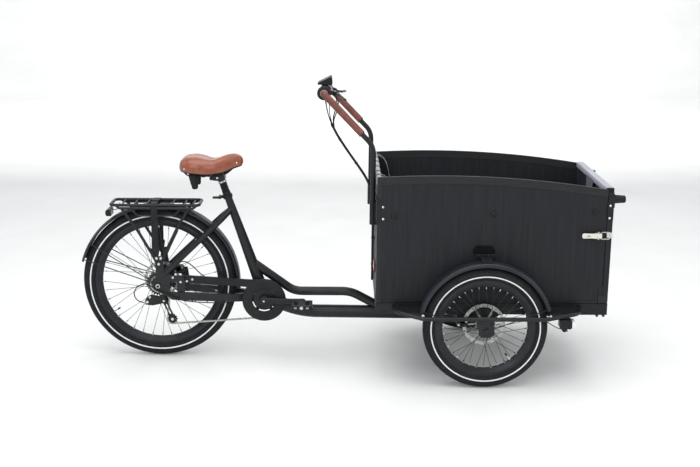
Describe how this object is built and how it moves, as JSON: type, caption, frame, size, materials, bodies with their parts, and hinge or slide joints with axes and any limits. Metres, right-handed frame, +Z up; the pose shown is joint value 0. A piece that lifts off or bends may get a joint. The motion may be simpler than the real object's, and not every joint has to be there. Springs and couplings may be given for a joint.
{
  "type": "cargo bicycle",
  "caption": "Front-steering cargo tricycle with an open wooden box between two small front wheels, pushed by a bicycle rear end with saddle, pedals and rack.",
  "frame": {"origin": "on the ground under the middle of the overall length, on the centre plane", "axes": "+X forward, +Y to the rider's left, +Z up"},
  "size_m": [2.3291, 0.88, 1.2619],
  "materials": {
    "frame_paint": "satin black paint",
    "black_alloy": "satin black anodised",
    "black_wood": "matt black laminate",
    "black_plastic": "matt",
    "mudguard_black": "soft sheen",
    "tyre": "matt",
    "rubber": "matt",
    "steel": "plain",
    "alloy": "satin",
    "saddle_leather": "worn, waxed",
    "grip_leather": "waxed",
    "webbing": "matt",
    "latch_cream": "satin"
  },
  "bodies": {
    "frame": {"main_beam": "frame_paint", "upper_main_tube": "frame_paint", "seat_tube": "frame_paint", "seat_stays": "frame_paint", "chain_stays": "frame_paint", "rear_mudguard": "mudguard_black", "rear_rack": "frame_paint", "rack_strap": "webbing", "rear_lamp": "black_plastic", "chain_guard": "black_plastic", "chain": "steel", "derailleur": "black_alloy", "rear_caliper": "black_alloy", "seat_clamp": "alloy"},
    "seat_clamp_lever": {"seat_clamp_lever": "alloy"},
    "cassette": {"cassette": "steel"},
    "jockey_upper": {"jockey_wheel_upper": "black_plastic"},
    "jockey_lower": {"jockey_wheel_lower": "black_plastic"},
    "rear_wheel": {"rear_tyre": "tyre", "rear_rim": "black_alloy", "rear_spokes": "steel", "rear_hub": "black_alloy"},
    "crank": {"crankset": "black_alloy"},
    "pedal_right": {"pedal_right": "black_plastic"},
    "pedal_left": {"pedal_left": "black_plastic"},
    "seat_post": {"seat_post": "black_alloy", "post_bellows": "rubber"},
    "saddle": {"post_head": "black_alloy", "saddle_base": "black_plastic", "saddle_cover": "saddle_leather"},
    "front": {"front_subframe": "black_alloy", "box_floor": "black_wood", "box_side_right": "black_wood", "box_side_left": "black_wood", "box_rear_panel": "black_wood", "bench_seat": "black_wood", "outrigger_bars": "frame_paint", "front_mudguards": "mudguard_black", "front_calipers": "black_alloy", "front_lamps": "black_plastic", "handlebar": "black_alloy", "handlebar_grips": "grip_leather", "cockpit": "black_plastic", "cable_loom": "black_plastic"},
    "shifter_ring": {"shifter_ring": "rubber"},
    "brake_lever_right": {"brake_lever_right": "black_alloy"},
    "brake_lever_left": {"brake_lever_left": "black_alloy"},
    "door": {"front_door": "black_wood"},
    "latch_lever_right": {"latch_lever_right": "latch_cream"},
    "latch_lever_left": {"latch_lever_left": "latch_cream"},
    "latch_bail_right": {"latch_bail_right": "steel"},
    "latch_bail_left": {"latch_bail_left": "steel"},
    "front_wheel_right": {"front_tyre_right": "tyre", "front_rim_right": "black_alloy", "front_spokes_right": "steel", "front_hub_right": "black_alloy"},
    "front_wheel_left": {"front_tyre_left": "tyre", "front_rim_left": "black_alloy", "front_spokes_left": "steel", "front_hub_left": "black_alloy"}
  },
  "joints": [
    {"name": "steer", "type": "hinge", "parent": "frame", "child": "front", "pos_m": [0.47955, 0, 0.228], "axis": [0, 0, 1], "range_deg": [-28, 28]},
    {"name": "rear_wheel_spin", "type": "hinge", "parent": "frame", "child": "rear_wheel", "pos_m": [-0.82045, 0, 0.342], "axis": [0, 1, 0], "continuous": true},
    {"name": "crank_spin", "type": "hinge", "parent": "frame", "child": "crank", "pos_m": [-0.35445, 0, 0.274], "axis": [0, 1, 0], "continuous": true},
    {"name": "cassette_spin", "type": "hinge", "parent": "frame", "child": "cassette", "pos_m": [-0.82045, 0, 0.342], "axis": [0, 1, 0], "continuous": true},
    {"name": "jockey_upper_spin", "type": "hinge", "parent": "frame", "child": "jockey_upper", "pos_m": [-0.79845, -0.044, 0.27], "axis": [0, 1, 0], "continuous": true},
    {"name": "jockey_lower_spin", "type": "hinge", "parent": "frame", "child": "jockey_lower", "pos_m": [-0.76545, -0.044, 0.18], "axis": [0, 1, 0], "continuous": true},
    {"name": "pedal_right_spin", "type": "hinge", "parent": "crank", "child": "pedal_right", "pos_m": [-0.18445, -0.13, 0.274], "axis": [0, 1, 0], "continuous": true},
    {"name": "pedal_left_spin", "type": "hinge", "parent": "crank", "child": "pedal_left", "pos_m": [-0.52445, 0.13, 0.274], "axis": [0, 1, 0], "continuous": true},
    {"name": "seat_height", "type": "slide", "parent": "frame", "child": "seat_post", "axis": [-0.3258, 0, 0.9454], "range_m": [0, 0.09]},
    {"name": "seat_suspension", "type": "slide", "parent": "seat_post", "child": "saddle", "axis": [0.3258, 0, -0.9454], "range_m": [0, 0.02], "stiffness_N_per_m": 20000, "springref_m": -0.01, "deforming": ["post_bellows"]},
    {"name": "seat_clamp_lever_turn", "type": "hinge", "parent": "frame", "child": "seat_clamp_lever", "pos_m": [-0.54472, -0.02, 0.731], "axis": [0, 0, 1], "range_deg": [0, 120]},
    {"name": "shifter_twist", "type": "hinge", "parent": "front", "child": "shifter_ring", "pos_m": [-0.08745, -0.167, 1.208], "axis": [0, 1, 0], "range_deg": [-60, 60]},
    {"name": "brake_lever_right_pull", "type": "hinge", "parent": "front", "child": "brake_lever_right", "pos_m": [-0.0456, -0.062, 1.1944], "axis": [-0.309, 0, -0.9511], "range_deg": [0, 14], "stiffness_Nm_per_rad": 3, "springref_deg": -11.46},
    {"name": "brake_lever_left_pull", "type": "hinge", "parent": "front", "child": "brake_lever_left", "pos_m": [-0.0456, 0.062, 1.1944], "axis": [0.309, 0, 0.9511], "range_deg": [0, 14], "stiffness_Nm_per_rad": 3, "springref_deg": -11.46},
    {"name": "front_wheel_right_spin", "type": "hinge", "parent": "front", "child": "front_wheel_right", "pos_m": [0.58855, -0.381, 0.261], "axis": [0, 1, 0], "continuous": true},
    {"name": "front_wheel_left_spin", "type": "hinge", "parent": "front", "child": "front_wheel_left", "pos_m": [0.58855, 0.381, 0.261], "axis": [0, 1, 0], "continuous": true},
    {"name": "door_fold", "type": "hinge", "parent": "front", "child": "door", "pos_m": [1.11455, 0, 0.347], "axis": [0, 1, 0], "range_deg": [0, 129]},
    {"name": "latch_lever_right_turn", "type": "hinge", "parent": "front", "child": "latch_lever_right", "pos_m": [1.06155, -0.324, 0.644], "axis": [0, 0, 1], "range_deg": [0, 120]},
    {"name": "latch_lever_left_turn", "type": "hinge", "parent": "front", "child": "latch_lever_left", "pos_m": [1.06155, 0.324, 0.644], "axis": [0, 0, -1], "range_deg": [0, 120]},
    {"name": "latch_bail_right_turn", "type": "hinge", "parent": "latch_lever_right", "child": "latch_bail_right", "pos_m": [1.05255, -0.323, 0.644], "axis": [0, 0, 1], "range_deg": [-150, 0]},
    {"name": "latch_bail_left_turn", "type": "hinge", "parent": "latch_lever_left", "child": "latch_bail_left", "pos_m": [1.05255, 0.323, 0.644], "axis": [0, 0, -1], "range_deg": [-150, 0]}
  ],
  "couplings": [
    {"joint": "cassette_spin", "follows": "crank_spin", "ratio": 2.3333},
    {"joint": "jockey_upper_spin", "follows": "crank_spin", "ratio": -3.8182},
    {"joint": "jockey_lower_spin", "follows": "crank_spin", "ratio": 3.8182},
    {"joint": "latch_bail_right_turn", "follows": "latch_lever_right_turn", "ratio": -1.15},
    {"joint": "latch_bail_left_turn", "follows": "latch_lever_left_turn", "ratio": -1.15}
  ]
}
